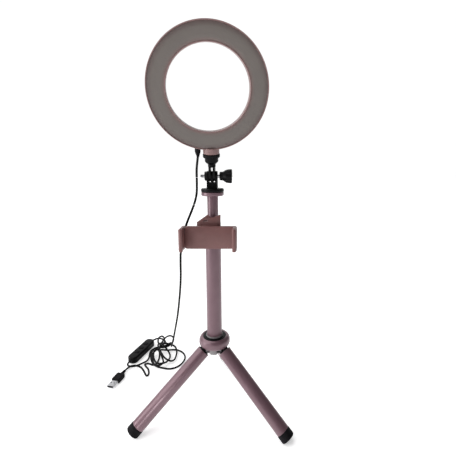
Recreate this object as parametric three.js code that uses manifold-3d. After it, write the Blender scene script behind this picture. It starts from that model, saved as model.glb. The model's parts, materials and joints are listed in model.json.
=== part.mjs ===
// A 16 cm USB ring light on a telescopic column with a folding tripod and a clip-on phone holder.
// Millimetres, +Z up, -Y towards the person being lit. The column's axis is the working axis;
// the last lines move the origin to the middle of the footprint, on the floor.
import * as THREE from "three";
import { mergeVertices } from "three/addons/utils/BufferGeometryUtils.js";
import Module from "manifold-3d";

const wasm = await Module();
wasm.setup();

// ---------------------------------------------------------------- driving dimensions
const GAP = 0.3; // clearance between neighbouring pieces
const FIT = 0.12; // radial clearance of sliding and turning fits

const RING = {
  outer: 80, hole: 55, depth: 18, wall: 2.5, floor: 2.4, height: 120.5,
  tilt: 15, pan: 8, // degrees back from upright, and round the neck
};
const BOOT = { x: -19.8, top: 43, bottom: 30, wide: 4.4, tip: 2.2 };
const HINGE = { z: 371.7, prong: 3, slot: 3.2, knuckle: 7.5, bolt: 2.5, bolt_hole: 2.7 };
const NUT = { bottom: 18.9, cone: 22.4, step: 28.3, top: 33.6, r0: 6.5, r1: 9.7, r2: 12.2, bore: 3.5 };
const RING_SIDES = 40; // facets round the lamp
const LEDS = 24;
const STUD_R = 3.175; // a 1/4 inch tripod thread
const FLANGE = { top: 348.5, thick: 6.2, r: 16.6 };

const TUBES = {
  outer: { r: 11.6, wall: 1, bottom: 108, top: 303 },
  mid: { r: 9.7, wall: 0.9, bottom: 122, top: 302 },
  inner: { r: 8.1, wall: 0.9, bottom: 150, top: 342.6 },
};

const HUB = {
  core: 17.6, top: 122.6, bottom: 99.6, // the block that the legs hinge in
  boss: 97.4, boss_r: 16, // the three lobes under it, between the folded legs
  collar: 24, lip: 123, collar_bottom: 107.5,
};
const LEG = {
  turn: -2.4, slope: 40.8, // degrees round the column, and down from level
  pivot_r: 14.5, pivot_z: 104.5, pin: 2, tongue: 8, // the hinge, its pin's radius and its tongue's thickness
  r: 10, wall: 1.2, start: 5.5, end: 141, foot: 152.5, // the tube and its cap, from the hinge outwards
};

const PLATE = {
  z: 286, half: 16, left: -37, right: 37, // its middle, half its height, and its ends
  front: -30, seam: -23.2, back: -21, // the face a phone rests on, the cover's joint, and the back
  jaw: 6, reach: 18, // a jaw's thickness, and how far it stands out in front
};
const CLIP = {
  bottom: 272, top: 304, block_top: 302.6, lug_top: 298, // heights of its arms, its block and its lugs
  block_front: -20.4, grip: 11.9, wall_r: 16.8, wall: 3, // what holds the column, and the arms round it
  pin: [16, -14.5], pin_r: 2, barrel: 4.2, barrel_top: 288,
  ear_front: -18.5, ear_back: -15.7, // the two ears above the block
};

const STUD = { r: 3, head: 5, outer: -25.2, inner: -14.6 }; // the holder's swivel, from the plate to the clip
const CORD_R = 1.4; // a 2.8 mm round lead
const BUNDLE = { left: -146, right: -70, front: 84, back: 184, height: 20 };
const CASE = { length: 72, wide: 20, thick: 13, split: 6.4, pitch: 15, at: [-166.3, 142.4], heading: 253.2 };
const KEY_NAMES = ["power", "colour", "dimmer"];
const USB = {
  at: [-178.5, 80.8], heading: 258, grip: 30, wide: 15.6, thick: 8, // the moulded grip
  shell: 14, shell_w: 12, shell_t: 4.5, sheet: 0.4, // the metal shell
};

// ---------------------------------------------------------------- materials
const finish = (color, roughness, metalness = 0) =>
  new THREE.MeshStandardMaterial({ color, roughness, metalness });
const LOOK = {
  rose: finish(0xb08c9b, 0.38, 0.3),
  salmon: finish(0xb98a86, 0.45),
  shell: finish(0xd6a8a8, 0.42),
  diffuser: finish(0xd9cdc8, 0.6),
  board: finish(0xe8e6e0, 0.5),
  black: finish(0x141416, 0.45),
  rubber: finish(0x17161a, 0.8),
  cord: finish(0x101012, 0.55),
  grey: finish(0x8d878c, 0.5),
  steel: finish(0xb4b4b8, 0.3, 1),
  brass: finish(0xb39a5c, 0.35, 1),
};

// ---------------------------------------------------------------- solids
// A geometry as a manifold solid with its faces pointing out.
function solid(geometry) {
  const bare = new THREE.BufferGeometry();
  bare.setAttribute("position", geometry.getAttribute("position"));
  if (geometry.index) bare.setIndex(geometry.index);
  const merged = mergeVertices(bare, 1e-4);
  const vertProperties = merged.attributes.position.array;
  const triVerts = new Uint32Array(merged.index.array);
  const build = () => new wasm.Manifold(new wasm.Mesh({ numProp: 3, vertProperties, triVerts }));
  const made = build();
  if (made.volume() > 0) return made;
  for (let i = 0; i < triVerts.length; i += 3) {
    [triVerts[i + 1], triVerts[i + 2]] = [triVerts[i + 2], triVerts[i + 1]];
  }
  return build();
}

const join = (first, ...rest) => rest.reduce((sum, piece) => sum.add(piece), first);
const cut = (first, ...rest) => rest.reduce((left, piece) => left.subtract(piece), first);

// A named mesh from a solid, added to its group.
function place(group, name, made, material) {
  const out = made.getMesh();
  const geometry = new THREE.BufferGeometry();
  geometry.setAttribute("position", new THREE.BufferAttribute(out.vertProperties, 3));
  geometry.setIndex(new THREE.BufferAttribute(out.triVerts, 1));
  geometry.computeVertexNormals();
  const mesh = new THREE.Mesh(geometry, material);
  mesh.name = name;
  group.add(mesh);
  return mesh;
}

// Revolves [radius, z] points about Z; the profile starts and ends on the axis or closes on itself.
function turned(points, segments = 20) {
  const profile = points.map(([r, z]) => new THREE.Vector2(r, z));
  return solid(new THREE.LatheGeometry(profile, segments).rotateX(Math.PI / 2));
}

// A ring or tube about Z, or about an upright line at [x, y], between two radii and two heights.
function ring(inner, outer, low, high, segments = 20, [x, y] = [0, 0]) {
  const profile = [[inner, low], [outer, low], [outer, high], [inner, high], [inner, low]];
  const points = profile.map(([r, z]) => new THREE.Vector2(r, z));
  return solid(new THREE.LatheGeometry(points, segments).rotateX(Math.PI / 2).translate(x, y, 0));
}

// A rod along Z at [x, y], one along X, and one along Y.
function rod(r, low, high, segments = 20, [x, y] = [0, 0]) {
  const geometry = new THREE.CylinderGeometry(r, r, high - low, segments).rotateX(Math.PI / 2);
  return solid(geometry.translate(x, y, (low + high) / 2));
}

function crossRod(r, from, to, segments = 18, y = 0, z = 0) {
  const geometry = new THREE.CylinderGeometry(r, r, to - from, segments).rotateZ(Math.PI / 2);
  return solid(geometry.translate((from + to) / 2, y, z));
}

function depthRod(r, from, to, segments = 20, x = 0, z = 0) {
  const geometry = new THREE.CylinderGeometry(r, r, to - from, segments);
  return solid(geometry.translate(x, (from + to) / 2, z));
}

// A box from its lowest to its highest corner.
function block([x0, y0, z0], [x1, y1, z1]) {
  const geometry = new THREE.BoxGeometry(x1 - x0, y1 - y0, z1 - z0);
  return solid(geometry.translate((x0 + x1) / 2, (y0 + y1) / 2, (z0 + z1) / 2));
}

// A rectangle with round corners, centred on the origin.
function roundedRect(width, height, radius) {
  const [w, h, r] = [width / 2, height / 2, radius];
  const shape = new THREE.Shape().moveTo(-w + r, -h).lineTo(w - r, -h);
  shape.absarc(w - r, -h + r, r, -Math.PI / 2, 0).lineTo(w, h - r);
  shape.absarc(w - r, h - r, r, 0, Math.PI / 2).lineTo(-w + r, h);
  shape.absarc(-w + r, h - r, r, Math.PI / 2, Math.PI).lineTo(-w, -h + r);
  shape.absarc(-w + r, -h + r, r, Math.PI, 1.5 * Math.PI);
  return shape;
}

// A flat outline given a thickness along +Z, before it is turned into place.
function sheetOf(shape, depth, curveSegments = 2) {
  return new THREE.ExtrudeGeometry(shape, { depth, bevelEnabled: false, curveSegments });
}

// A slab that lies in the XZ plane, from y = front to y = back.
const uprightSlab = (shape, front, back) =>
  solid(sheetOf(shape, back - front).rotateX(Math.PI / 2).translate(0, back, 0));

// A round tube along hand-set points.
function cordAlong(points, steps) {
  const path = new THREE.CatmullRomCurve3(points.map((p) => new THREE.Vector3(...p)), false, "centripetal");
  const section = new THREE.Shape().absarc(0, 0, CORD_R, 0, 2 * Math.PI);
  const options = { steps, extrudePath: path, bevelEnabled: false, curveSegments: 4 };
  return solid(new THREE.ExtrudeGeometry(section, options));
}

const degrees = THREE.MathUtils.degToRad;
const stand = new THREE.Group();

// ---------------------------------------------------------------- tripod
const facing = (index) => degrees(index * 120 - 150 + LEG.turn); // front left, front right and back

function legGroup(index) {
  const spoke = new THREE.Group();
  spoke.rotation.z = facing(index);
  const leg = new THREE.Group();
  leg.position.set(LEG.pivot_r, 0, LEG.pivot_z);
  leg.rotation.y = degrees(90 + LEG.slope); // local +Z runs down the leg
  spoke.add(leg);
  stand.add(spoke);
  return { spoke, leg };
}

// The hinge tongue with the plug that fills the tube's top.
function legKnuckle() {
  const inside = LEG.start + 2;
  const eye = new THREE.Shape().absarc(0, 0, 6.4, -Math.PI / 2, Math.PI / 2);
  eye.lineTo(-inside, 6.4).lineTo(-inside, -6.4).lineTo(0, -6.4);
  const tongue = solid(
    sheetOf(eye, LEG.tongue, 5).translate(0, 0, -LEG.tongue / 2).rotateX(Math.PI / 2).rotateY(Math.PI / 2),
  );
  const plug = rod(LEG.r - LEG.wall - FIT, LEG.start + 0.4, LEG.start + 16, 20);
  return cut(join(tongue, plug), depthRod(LEG.pin + FIT, -15, 15, 12));
}

// A rubber cap with a plug, worn flat where it stands on the floor.
function legFoot(leg) {
  const cap = turned([
    [0, LEG.end - 10],
    [LEG.r - LEG.wall - FIT, LEG.end - 10],
    [LEG.r - LEG.wall - FIT, LEG.end],
    [LEG.r + 0.3, LEG.end],
    [LEG.r + 0.3, LEG.foot - 1.8],
    [LEG.r - 0.3, LEG.foot - 0.6],
    [LEG.r - 1.5, LEG.foot],
    [0, LEG.foot],
  ], 20);
  leg.updateWorldMatrix(true, false);
  const below = new THREE.BoxGeometry(400, 400, 20).translate(0, 0, -10);
  below.applyMatrix4(leg.matrixWorld.clone().invert());
  return cut(cap, solid(below));
}

function addLegs() {
  for (const index of [0, 1, 2]) {
    const { spoke, leg } = legGroup(index);
    const label = index + 1;
    place(leg, "leg_knuckle_" + label, legKnuckle(), LOOK.black);
    const tube = ring(LEG.r - LEG.wall, LEG.r, LEG.start, LEG.end - GAP, 20);
    place(leg, "leg_tube_" + label, tube, LOOK.rose);
    place(leg, "leg_foot_" + label, legFoot(leg), LOOK.rubber);
    const pin = depthRod(LEG.pin, -7, 7, 12, LEG.pivot_r, LEG.pivot_z);
    place(spoke, "leg_pin_" + label, pin, LOOK.steel);
  }
}

// The slot in the hub that one leg's tongue swings in, and its pin hole.
function legSlot(index, width) {
  const slot = new THREE.BoxGeometry(34, width, 60).translate(LEG.pivot_r + 9.8, 0, LEG.pivot_z - 22.5);
  return solid(slot.rotateZ(facing(index)));
}

function pinHole(index) {
  const r = LEG.pin + FIT;
  const hole = new THREE.CylinderGeometry(r, r, 60, 12).translate(LEG.pivot_r, 0, LEG.pivot_z);
  return solid(hole.rotateZ(facing(index)));
}

// A slot up into the collar's lower edge for one tongue, between two radii.
function notch(index, near, far, top) {
  const room = new THREE.BoxGeometry(far - near, LEG.tongue + 3 * GAP, 30);
  return solid(room.translate((near + far) / 2, 0, top - 15).rotateZ(facing(index)));
}

// The room that a folded leg takes under the hub.
function foldedRoom(index) {
  const room = LEG.r + 2 * GAP;
  const round = new THREE.CylinderGeometry(room, room, 20, 24).rotateX(Math.PI / 2);
  const beyond = new THREE.BoxGeometry(20, 2 * room, 20).translate(10, 0, 0);
  const under = (shape) => solid(shape.translate(LEG.pivot_r, 0, HUB.boss).rotateZ(facing(index)));
  return [under(round), under(beyond)];
}

function addHub() {
  const { outer } = TUBES;
  const body = turned([
    [0, HUB.bottom],
    [HUB.core - 1.6, HUB.bottom],
    [HUB.core, HUB.bottom + 1.6],
    [HUB.core, HUB.top],
    [0, HUB.top],
  ], 28);
  const boss = turned([
    [0, HUB.boss],
    [HUB.boss_r - 1.2, HUB.boss],
    [HUB.boss_r, HUB.boss + 1],
    [HUB.boss_r, HUB.bottom + 0.5],
    [0, HUB.bottom + 0.5],
  ], 28);
  const lobes = cut(boss, ...[0, 1, 2].flatMap(foldedRoom));
  const socket = rod(outer.r + FIT, outer.bottom + 7 - GAP, HUB.top + 1);
  const slots = [0, 1, 2].map((index) => legSlot(index, LEG.tongue + 0.6));
  const holes = [0, 1, 2].map(pinHole);
  place(stand, "hub_core", cut(join(body, lobes), socket, ...slots, ...holes), LOOK.black);

  const collar = turned([
    [HUB.core + FIT, LEG.pivot_z + 8],
    [HUB.core + 1.4, LEG.pivot_z + 7],
    [HUB.core + 1.4, HUB.collar_bottom],
    [HUB.collar - 3.2, HUB.collar_bottom],
    [HUB.collar - 1, HUB.collar_bottom + 2],
    [HUB.collar, HUB.collar_bottom + 5],
    [HUB.collar, HUB.collar_bottom + 9.5],
    [HUB.collar - 1, HUB.lip - 3],
    [HUB.collar - 3, HUB.lip - 0.7],
    [HUB.collar - 4.6, HUB.lip],
    [HUB.core + FIT, HUB.lip - 0.8],
    [HUB.core + FIT, LEG.pivot_z + 8],
  ], 28);
  const eyeRoom = [0, 1, 2].map((index) => notch(index, 10, HUB.core + 4.4, LEG.pivot_z + 7.2));
  const wayOut = [0, 1, 2].map((index) => notch(index, HUB.core + 3, HUB.collar + 5, LEG.pivot_z + 3.4));
  place(stand, "hub_collar", cut(collar, ...eyeRoom, ...wayOut), LOOK.rose);
  const sleeve = ring(outer.r + FIT, outer.r + 1.4, HUB.top + GAP, HUB.top + 2.6);
  place(stand, "column_sleeve", sleeve, LOOK.grey);
}

// ---------------------------------------------------------------- column
function addColumn() {
  const { outer, mid, inner } = TUBES;
  const tube = (t) => ring(t.r - t.wall, t.r, t.bottom, t.top, 20);
  const outerTube = { ...outer, bottom: outer.bottom + 7 };
  place(stand, "outer_tube", tube(outerTube), LOOK.rose);
  place(stand, "mid_tube", tube(mid), LOOK.rose);
  place(stand, "inner_tube", tube(inner), LOOK.rose);

  // Plastic bushes on the lower ends run in the tube outside; a rim closes the outer tube's mouth.
  const bush = (t, around) => ring(t.r + 0.05, around.r - around.wall - FIT, t.bottom + 1, t.bottom + 15, 20);
  place(stand, "mid_bush", bush(mid, outer), LOOK.black);
  place(stand, "inner_bush", bush(inner, mid), LOOK.black);
  const rim = ring(mid.r + FIT, outer.r - outer.wall - 0.05, outer.top - 10, outer.top - 0.5, 20);
  place(stand, "outer_rim", rim, LOOK.black);

  const base = FLANGE.top - FLANGE.thick;
  const plug = inner.r - inner.wall - 0.15;
  const flange = turned([
    [0, inner.top - 14],
    [plug, inner.top - 14],
    [plug, inner.top + GAP],
    [inner.r + 0.6, inner.top + GAP],
    [inner.r + 1.6, base + 0.8],
    [FLANGE.r - 0.8, base + 0.8],
    [FLANGE.r, base + 1.6],
    [FLANGE.r, FLANGE.top],
    [0, FLANGE.top],
  ], 28);
  const socket = rod(STUD_R + 0.05, FLANGE.top - 9, FLANGE.top + 1, 24);
  place(stand, "top_flange", cut(flange, socket), LOOK.rose);
  place(stand, "flange_stud", rod(STUD_R, FLANGE.top - 8.8, FLANGE.top + 7.5, 24), LOOK.steel);
}

// ---------------------------------------------------------------- tilting hinge
// One side view of a prong: a round eye over straight cheeks that go down to z = foot.
function prongOutline(foot) {
  const r = HINGE.knuckle;
  const shape = new THREE.Shape().moveTo(-r, foot).lineTo(r, foot).lineTo(r, 0);
  shape.absarc(0, 0, r, 0, Math.PI).lineTo(-r, foot);
  return shape;
}

// A prong of that outline between x = from and x = to, with its eye on the hinge axis.
function prong(foot, from, to) {
  const flat = sheetOf(prongOutline(foot), to - from, 6);
  return solid(flat.rotateX(Math.PI / 2).rotateZ(Math.PI / 2).translate(from, 0, 0));
}

function addHingeBase() {
  const pitch = HINGE.prong + HINGE.slot;
  const half = HINGE.prong / 2;
  const foot = FLANGE.top + GAP - HINGE.z;
  const disc = turned([
    [0, foot],
    [FLANGE.r - 0.4, foot],
    [FLANGE.r + 0.4, foot + 0.8],
    [FLANGE.r + 0.4, foot + 3.8],
    [FLANGE.r - 0.8, foot + 5],
    [0, foot + 5.2],
  ], 28);
  const root = block([-pitch - half, -HINGE.knuckle, foot + 4], [pitch + half, HINGE.knuckle, -8.8]);
  const prongs = [-1, 0, 1].map((n) => prong(foot + 4.5, n * pitch - half, n * pitch + half));
  const left = -pitch - half;
  const boss = crossRod(6.8, left - 3.2, left + 0.5, 24);
  const hex = crossRod(4.7, left - 4, left - 0.2, 6);
  const bore = crossRod(HINGE.bolt_hole, -30, 30);
  const stud = rod(STUD_R + FIT, foot - 1, foot + 7.6, 24);
  const group = new THREE.Group();
  group.position.z = HINGE.z;
  stand.add(group);
  place(group, "prong_base", cut(join(disc, root, ...prongs, boss), hex, bore, stud), LOOK.black);

  const nut = cut(crossRod(4.4, left - 3.2, left - 0.5, 6), crossRod(HINGE.bolt + 0.08, -30, 30));
  place(group, "hinge_nut", nut, LOOK.steel);
  addThumbScrew(group, pitch + half);
}

// The bolt turns in the prongs; its knob is a flared, scalloped grip.
function addThumbScrew(group, right) {
  const tip = new THREE.CylinderGeometry(HINGE.bolt - 1, HINGE.bolt, 1.6, 20).rotateZ(Math.PI / 2);
  const bolt = join(
    crossRod(HINGE.bolt, -15.8, right + 14, 20),
    solid(tip.translate(-16.5, 0, 0)),
  );
  place(group, "thumb_bolt", bolt, LOOK.steel);
  const profile = [
    [HINGE.bolt + 0.05, 0], [6.3, 0], [6.6, 5.2], [8.4, 7.2], [10, 10], [10.6, 15.5], [10.6, 17.2],
    [9.4, 18.2], [4, 16.6], [HINGE.bolt + 0.05, 16.6], [HINGE.bolt + 0.05, 0],
  ].map(([r, x]) => new THREE.Vector2(r, x));
  const grip = new THREE.LatheGeometry(profile, 20).rotateZ(-Math.PI / 2).translate(right + 3.2, 0, 0);
  const scallops = [];
  for (let n = 0; n < 5; n++) {
    const turn = (n * 2 * Math.PI) / 5;
    const hollow = new THREE.CylinderGeometry(3.4, 3.4, 14, 10).rotateZ(Math.PI / 2);
    hollow.translate(right + 17.4, 0, 12.4).rotateX(turn);
    scallops.push(solid(hollow));
  }
  place(group, "thumb_knob", cut(solid(grip), ...scallops), LOOK.black);
}

// ---------------------------------------------------------------- head
function addAdapter(head) {
  const { prong: thick, slot } = HINGE;
  const inner = slot / 2 + 0.05;
  const outer = slot / 2 + thick - 0.05;
  const upsideDown = (from, to) =>
    solid(sheetOf(prongOutline(-15.2), to - from, 6).rotateX(-Math.PI / 2).rotateZ(Math.PI / 2)
      .translate(to, 0, 0));
  const cheeks = join(upsideDown(-outer, -inner), upsideDown(inner, outer));
  const neck = turned([[0, 14.4], [5.6, 14.4], [5.6, NUT.bottom - GAP], [0, NUT.bottom - GAP]], 28);
  const trim = ring(7.2, 30, 11, 17, 28);
  const bore = crossRod(HINGE.bolt_hole, -30, 30);
  const well = rod(STUD_R + 0.03, 15.6, 30, 24);
  place(head, "adapter_fork", cut(join(cheeks, neck), trim, bore, well), LOOK.black);
  place(head, "adapter_stud", rod(STUD_R, 15.8, RING.height - RING.outer - 1, 24), LOOK.steel);

  const nut = turned([
    [NUT.bore, NUT.bottom],
    [NUT.r0, NUT.bottom],
    [NUT.r1, NUT.cone],
    [NUT.r1, NUT.step],
    [NUT.r2, NUT.step + 1],
    [NUT.r2, NUT.top],
    [NUT.bore, NUT.top],
    [NUT.bore, NUT.bottom],
  ], 24);
  place(head, "lock_nut", nut, LOOK.black);
}

// The pink channel that holds the lamp, open to the front.
function ringShell() {
  const { outer, hole, wall, floor } = RING;
  const half = RING.depth / 2;
  const ledge = half - 3.6;
  return turned([
    [hole, half], [hole, -half + 4], [hole + 3, -half], [outer - 4.5, -half], [outer, -half + 4.5],
    [outer, half], [outer - wall, half], [outer - wall, ledge], [outer - wall - 1.2, ledge],
    [outer - wall - 1.2, -2], [outer - wall - 2.4, -2], [outer - wall - 2.4, -half + floor],
    [hole + wall + 2.4, -half + floor], [hole + wall + 2.4, -2], [hole + wall + 1.2, -2],
    [hole + wall + 1.2, ledge], [hole + wall, ledge], [hole + wall, half], [hole, half],
  ], RING_SIDES);
}

// The lamp is drawn about its own axis: +Z out of its face, +Y up the head.
function addLamp(head) {
  const swivel = new THREE.Group();
  swivel.rotation.z = degrees(RING.pan);
  head.add(swivel);
  const lamp = new THREE.Group();
  lamp.position.z = RING.height;
  lamp.rotation.x = Math.PI / 2;
  swivel.add(lamp);
  const { outer, hole, wall } = RING;
  const half = RING.depth / 2;
  const shaft = (r, low, high, x = 0) => depthRod(r, low, high, 22, x);

  const seat = NUT.top + GAP - RING.height;
  const inside = ring(hole + wall + 2.4, outer - wall - 2.4, -half + RING.floor, half + 1, RING_SIDES);
  const insertHole = shaft(4.5, seat - 1, seat + 6.6);
  const bootHole = shaft(BOOT.wide + 0.25, BOOT.bottom - RING.height, BOOT.top + 3 - RING.height, BOOT.x);
  const body = cut(join(ringShell(), shaft(11.6, seat, -outer + 2)), inside, insertHole, bootHole);
  place(lamp, "ring_shell", body, LOOK.shell);
  const insert = cut(shaft(4.4, seat + 0.1, seat + 6.5), shaft(STUD_R + FIT, seat - 1, seat + 8));
  place(lamp, "thread_insert", insert, LOOK.brass);

  const diffuser = ring(hole + wall + GAP, outer - wall - GAP, half - 3.3, half - 1.2, RING_SIDES);
  place(lamp, "diffuser", diffuser, LOOK.diffuser);
  addLedBoard(lamp, hole + wall + 1.2 + GAP, outer - wall - 1.2 - GAP);

  const boot = turned([
    [0, BOOT.bottom], [BOOT.tip, BOOT.bottom], [BOOT.tip + 0.5, BOOT.bottom + 2], [4, BOOT.bottom + 5.5],
    [BOOT.wide, BOOT.bottom + 8.5], [BOOT.wide, BOOT.top + 2.6], [0, BOOT.top + 2.6],
  ], 24);
  place(swivel, "lead_boot", boot, LOOK.rubber).position.x = BOOT.x;
}

// A ring of circuit board with a row of LEDs on its face.
function addLedBoard(lamp, inner, outer) {
  const board = ring(inner, outer, -1.7, -0.1, RING_SIDES);
  const leds = [];
  for (let n = 0; n < LEDS; n++) {
    const led = new THREE.BoxGeometry(3.5, 2.8, 1.4).translate((inner + outer) / 2, 0, 0.4);
    leds.push(solid(led.rotateZ((n * 2 * Math.PI) / LEDS)));
  }
  place(lamp, "led_board", join(board, ...leds), LOOK.board);
}

function addHead() {
  const head = new THREE.Group();
  head.position.z = HINGE.z;
  head.rotation.x = degrees(RING.tilt);
  stand.add(head);
  addAdapter(head);
  addLamp(head);
}

// ---------------------------------------------------------------- phone holder
// A wall that wraps round the column between two radii and two angles in degrees from +X.
function wrap(inner, outer, from, to, low, high) {
  const shape = new THREE.Shape().absarc(0, 0, outer, degrees(from), degrees(to));
  shape.absarc(0, 0, inner, degrees(to), degrees(from), true);
  return solid(sheetOf(shape, high - low, 6).translate(0, 0, low));
}

// The two ears above the block: a long one that falls away to the left, with a slit, and a corner
// on the right with its edge taken off.
function clipEars() {
  const { ear_front, ear_back } = CLIP;
  const outline = new THREE.Shape().moveTo(-21.3, 290).lineTo(-21.3, 306.4).lineTo(-5.2, 317.7);
  outline.lineTo(-1.6, 313.2).lineTo(2, 312.9).lineTo(12.8, 317.4).lineTo(12.8, 298.6).lineTo(8, 298.6);
  outline.lineTo(8, 290).lineTo(-21.3, 290);
  const slit = new THREE.Shape().moveTo(-12.8, 307.2).lineTo(-5.4, 307.9).lineTo(-5.4, 309.8);
  slit.lineTo(-10.4, 309.6).lineTo(-12.8, 307.2);
  const corner = new THREE.BoxGeometry(6, 6, 60).rotateZ(Math.PI / 4).translate(14.4, -20.4, 300);
  return cut(uprightSlab(outline, ear_front, ear_back), uprightSlab(slit, -30, 0), solid(corner));
}

// The fixed half of the spring clip: a block in front, its ears, and a curved arm round the left.
function addClipBody() {
  const { bottom, top, grip, wall, wall_r, block_top, lug_top } = CLIP;
  const [px, py] = CLIP.pin;
  const arm = wrap(wall_r, wall_r + wall, 100, 245, bottom, top);
  const ribs = [[106, 122], [172, 188]].map(([a, b]) => wrap(grip, wall_r + 1, a, b, bottom, block_top));
  const front = block([-13, CLIP.block_front, bottom], [8.5, -10, block_top]);
  const lug = (low) => join(
    rod(CLIP.barrel, low, low + 5, 24, CLIP.pin),
    block([6, py - CLIP.barrel, low], [px, py + 1.5, low + 5]),
  );
  const made = cut(
    join(arm, ...ribs, front, clipEars(), lug(bottom), lug(lug_top - 5)),
    rod(grip, bottom - 1, 330, 36),
    rod(CLIP.pin_r + 0.1, bottom - 1, lug_top + 0.2, 20, CLIP.pin),
    depthRod(STUD.r + 0.1, CLIP.block_front - 1, STUD.inner + GAP, 20, 0, PLATE.z),
  );
  place(stand, "clip_body", made, LOOK.salmon);
  place(stand, "clip_pin", rod(CLIP.pin_r, bottom - 0.5, lug_top, 20, CLIP.pin), LOOK.steel);
  const spring = ring(2.3, 3.5, CLIP.barrel_top + 0.4, lug_top - 5.4, 24, CLIP.pin);
  place(stand, "clip_spring", spring, LOOK.steel);
}

// The moving half: a curved arm round the right, and a finger pad beside its hinge.
function addClipLever() {
  const { bottom, grip, wall, wall_r, block_top, barrel_top } = CLIP;
  const low = bottom + 5.4;
  const high = block_top - 6;
  const arm = wrap(wall_r, wall_r + wall, -30, 75, low, high);
  const ribs = [[-8, 8], [52, 68]].map(([a, b]) => wrap(grip, wall_r + 1, a, b, low, high));
  const barrel = rod(CLIP.barrel, low, barrel_top, 24, CLIP.pin);
  const neck = block([13.5, -13, low], [19.2, -8.5, barrel_top]);
  const pad = block([17, -18.2, low + 1], [23, -15.6, barrel_top - 1]);
  const made = cut(
    join(arm, ...ribs, barrel, neck, pad),
    rod(grip, bottom - 1, block_top, 36),
    rod(CLIP.pin_r + FIT, bottom - 1, block_top, 20, CLIP.pin),
  );
  place(stand, "clip_lever", made, LOOK.salmon);
}

// A jaw's plan: a wall with a lip that keeps the phone in. side is 1 on the right, -1 on the left.
function jawPlan(side, inside, outside, back) {
  const tip = PLATE.front - PLATE.reach;
  const shape = new THREE.Shape().moveTo(side * inside, back).lineTo(side * inside, PLATE.front - 2);
  shape.quadraticCurveTo(side * (inside + 1.6), tip + 8, side * (inside - 0.4), tip + 1.2);
  shape.quadraticCurveTo(side * (inside + 0.4), tip - 0.4, side * (inside + 3), tip);
  shape.quadraticCurveTo(side * outside, tip + 1.5, side * outside, tip + 6);
  return shape.lineTo(side * outside, back).lineTo(side * inside, back);
}

// A jaw with its outer corners rounded.
function jaw(side, inside, outside, back) {
  const { half } = PLATE;
  const plan = sheetOf(jawPlan(side, inside, outside, back), 2 * half, 5).translate(0, 0, -half);
  const outline = uprightSlab(roundedRect(2 * outside, 2 * half, 3), -60, 0);
  return solid(plan).intersect(outline);
}

function addPhoneHolder() {
  const { half, left, right, front, seam, back } = PLATE;
  const holder = new THREE.Group();
  holder.position.z = PLATE.z;
  stand.add(holder);

  const slab = uprightSlab(roundedRect(right - left, 2 * half, 3), front, seam);
  const cavity = block([left - 1, front + 2.2, -12], [right - 4, seam + 1, 12]);
  const plate = cut(join(slab, jaw(1, right - PLATE.jaw, right, seam)), cavity);
  place(holder, "phone_plate", plate, LOOK.salmon);

  const cover = uprightSlab(roundedRect(right - left - 0.6, 2 * half - 0.6, 2.8), seam + GAP - 0.1, back);
  place(holder, "back_cover", cut(cover, depthRod(STUD.r + 0.4, back - 10, back + 10)), LOOK.salmon);
  const flangeBack = STUD.outer + 1.8;
  const stud = join(depthRod(STUD.r, STUD.outer, STUD.inner), depthRod(STUD.head, STUD.outer, flangeBack, 24));
  place(holder, "swivel_stud", stud, LOOK.steel);

  const wall = jaw(-1, -left + 0.4, -left + 0.4 + PLATE.jaw, back);
  const tongue = block([left - 2, front + 2.5, -11.7], [12, front + 4.5, 5]);
  place(holder, "sliding_jaw", join(wall, tongue), LOOK.salmon);
  place(holder, "jaw_spring", crossRod(2, left + 0.2, right - 4.4, 16, -25.5, 8.6), LOOK.steel);
}

// ---------------------------------------------------------------- lead
// The lead in stretches: past each joint of the column, over the table, and through its controller.
const LEAD = {
  lead_head: [[-19.6, -10.2, 399.6], [-20.4, -8.2, 392], [-21.4, -5.6, 382], [-21.7, -4.6, 370.2]],
  lead_neck: [[-21.7, -4.6, 369.8], [-21.7, -5, 356], [-22.8, -6, 344], [-26.3, -7.4, 331.2]],
  lead_upper: [
    [-26.4, -7.4, 330.8], [-31, -8.4, 319], [-36.3, -9, 306.5], [-41, -9, 293], [-44.8, -8, 279],
    [-47.6, -6, 266], [-49.4, -3, 252.2],
  ],
  lead_lower: [
    [-49.4, -3, 251.8], [-50.6, 1, 238], [-52, 7, 222], [-54.5, 15, 202], [-58.5, 26, 180], [-63.5, 39, 155],
    [-70, 55, 127], [-78, 74, 98], [-87, 96, 67.2],
  ],
  lead_drop: [[-87.1, 96.2, 66.8], [-94, 112, 44.5], [-99, 124, 30], [-101.5, 131, 23.2]],
  lead_link_in: [[-125, 176, 4], [-131, 186, 4.2], [-139, 190.5, 5], [-148.2, 188, 6.2], [-155.3, 178.8, 6.5]],
  lead_link_out: [
    [-177.6, 105.8, 6.5], [-179.2, 101, 6.5], [-178.8, 95.5, 6.4], [-174.5, 91.3, 6.2], [-168, 91, 5.8],
    [-161, 94.2, 5.3], [-154, 102, 4.2], [-147.9, 110.4, 3.2],
  ],
  lead_tail: [
    [-147.9, 104.4, 1.7], [-144.8, 97.5, 1.6], [-140.6, 90, 1.6], [-136.6, 82, 1.6], [-134.2, 74.6, 1.6],
    [-136, 69, 1.6], [-140.6, 67.7, 1.6], [-144.8, 71.4, 1.6], [-148, 78.6, 1.6], [-153, 88.5, 1.6],
    [-159.5, 96.5, 1.6], [-167, 100.6, 1.6], [-173.4, 97.8, 2], [-176.9, 89.6, 3.2], [-178.3, 81.4, 4],
  ],
};
const LEAD_STEP = 7.5; // about every 2.7 diameters

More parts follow.
